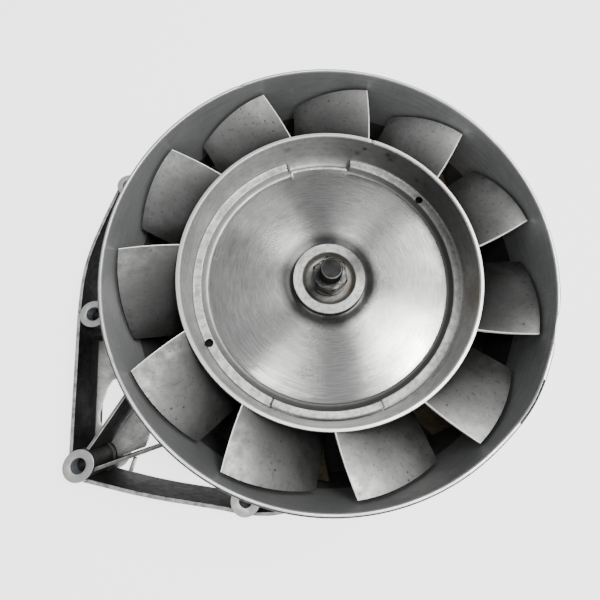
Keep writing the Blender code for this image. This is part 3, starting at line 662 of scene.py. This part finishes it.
for number, tone in enumerate(BLADE_LIGHT_AND_SHADE):
    tip_angle = FIRST_TIP + 360 * number / BLADES
    root_shade, shade_end = (0.95, 180 * MM) if number < 5 else (0.8, 166 * MM)
    skin = blade_metal(f"blade_skin_{number + 1}", grey(tone * 1.18), grey(tone * 0.66), 0.42, root_shade, shade_end)
    shape = bmesh.new()
    bmesh.ops.create_grid(shape, x_segments=SPAN_CUTS, y_segments=CHORD_CUTS, size=0.5)
    params = {}
    for vert in shape.verts:
        u = 1 - (0.5 - vert.co.x) ** 1.4
        v = (vert.co.y + 0.5) ** 1.36
        params[vert.index] = (u, v)
        vert.co = blade_place(tip_angle, ROOT_START + (1 - ROOT_START) * u, v)
    shape.normal_update()
    upward = 1 if next(iter(shape.faces)).normal.z > 0 else -1
    half = {}
    for vert in shape.verts:
        v = params[vert.index][1]
        half[vert.index] = vert.normal * upward * (0.75 + 0.85 * math.sin(math.pi * min(1.0, v * 0.94 + 0.03)) ** 0.6) * MM
    for face in shape.faces:
        u = sum(params[vert.index][0] for vert in face.verts) / 4
        v = sum(params[vert.index][1] for vert in face.verts) / 4
        if v < 0.008:
            face.material_index = 1
        elif u > 0.99:
            face.material_index = 2
    front = list(shape.verts)
    copied = bmesh.ops.duplicate(shape, geom=list(shape.verts) + list(shape.edges) + list(shape.faces))
    backs = [item for item in copied["geom"] if isinstance(item, bmesh.types.BMVert)]
    for old, new in zip(front, backs):
        offset = half[old.index]
        new.co = old.co - offset
        old.co = old.co + offset
    rims = [edge for edge in shape.edges if edge.is_boundary]
    walls = bmesh.ops.bridge_loops(shape, edges=rims)["faces"]
    for face in walls:
        middle = face.calc_center_median()
        ahead = math.degrees(math.atan2(middle.y - AXIS.y, middle.x - AXIS.x))
        reach = (math.hypot(middle.x - AXIS.x, middle.y - AXIS.y) - INNER_R) / (TIP_R - INNER_R)
        if angle_from(ahead, tip_angle - ROOT_LAG * (1 - reach)) < 0.4:
            face.material_index = 1
    bmesh.ops.recalc_face_normals(shape, faces=shape.faces)
    finished(
        f"blade_cast_{number + 1:02d}", shape, (skin, edge_wear_and_highlight, tip_wear_and_highlight), "rotor",
        [f"blade_{number + 1:02d}"],
    )


# The rotor is held on its shaft by a plain washer and a dark nut with turned corners. The shaft's threaded
# end stands clear of the nut.
steel = cast_metal("dark_steel_turned", grey(0.03), grey(0.01), 0.4, 0.2, corner_shade_and_grime=(5, 0.9))
worn_steel = turned_metal("worn_steel", grey(0.6), grey(0.12), 0.3, 0.00002, 0.7, corner_shade_and_grime=(2, 0.3), mottle=0.8)
nut_face = turned_metal("nut_face", grey(0.07), grey(0.02), 0.35, 0.00002, 0.7, corner_shade_and_grime=(3, 0.6), mottle=0.7)
washer_steel = turned_metal("washer_steel", grey(0.2), grey(0.1), 0.4)
nut_steel = cast_metal("nut_steel", grey(0.05), grey(0.012), 0.3, 0.3, corner_shade_and_grime=(6, 0.9))
softened("front_washer", (washer_steel,), 0.3 * MM, "rotor")
nut = softened("front_nut", (nut_steel, nut_face, worn_steel), 0.15 * MM, "rotor")
NUT_LIMIT = ((5, 57.5), (14.2, 57.5), (17.6, 59.4), (17.6, 73.4), (14.6, 75.2), (13.4, 75.7), (5, 75.7))
carved(nut, "nut_corners", spun("nut_corners", NUT_LIMIT, 96), "INTERSECT")
for face in nut.data.polygons:
    if face.normal.z > 0.95:
        face.material_index = 1
    elif face.normal.z > 0.88:
        face.material_index = 2
THREAD = [(10 - 0.75 * (step % 2), 58 + 0.75 * step) for step in range(45)]
SHAFT_PROFILE = (
    [(0, 4), (7.2, 4), (8, 4.8), (8, 18.3), (12, 18.3), (12, 45.7), (10, 45.7)] + THREAD + [(9.3, 91.5), (8.6, 92), (0, 92)]
)
shaft = spun("rotor_shaft", SHAFT_PROFILE, 72)
for face in shaft.faces:
    if face.calc_center_median().z > 91.6 * MM and abs(face.normal.z) < 0.9:
        face.material_index = 1
finished("shaft", shaft, (steel, worn_steel), "rotor", ["rotor_shaft"])


# A belt pulley with two grooves turns the shaft from behind, and a second nut holds it.
pulley_metal = turned_metal("pulley_metal", grey(0.5), grey(0.36), 0.34)
softened("drive_pulley", (pulley_metal,), 0.4 * MM, "rotor")
softened("rear_nut", (nut_steel,), 0.8 * MM, "rotor")
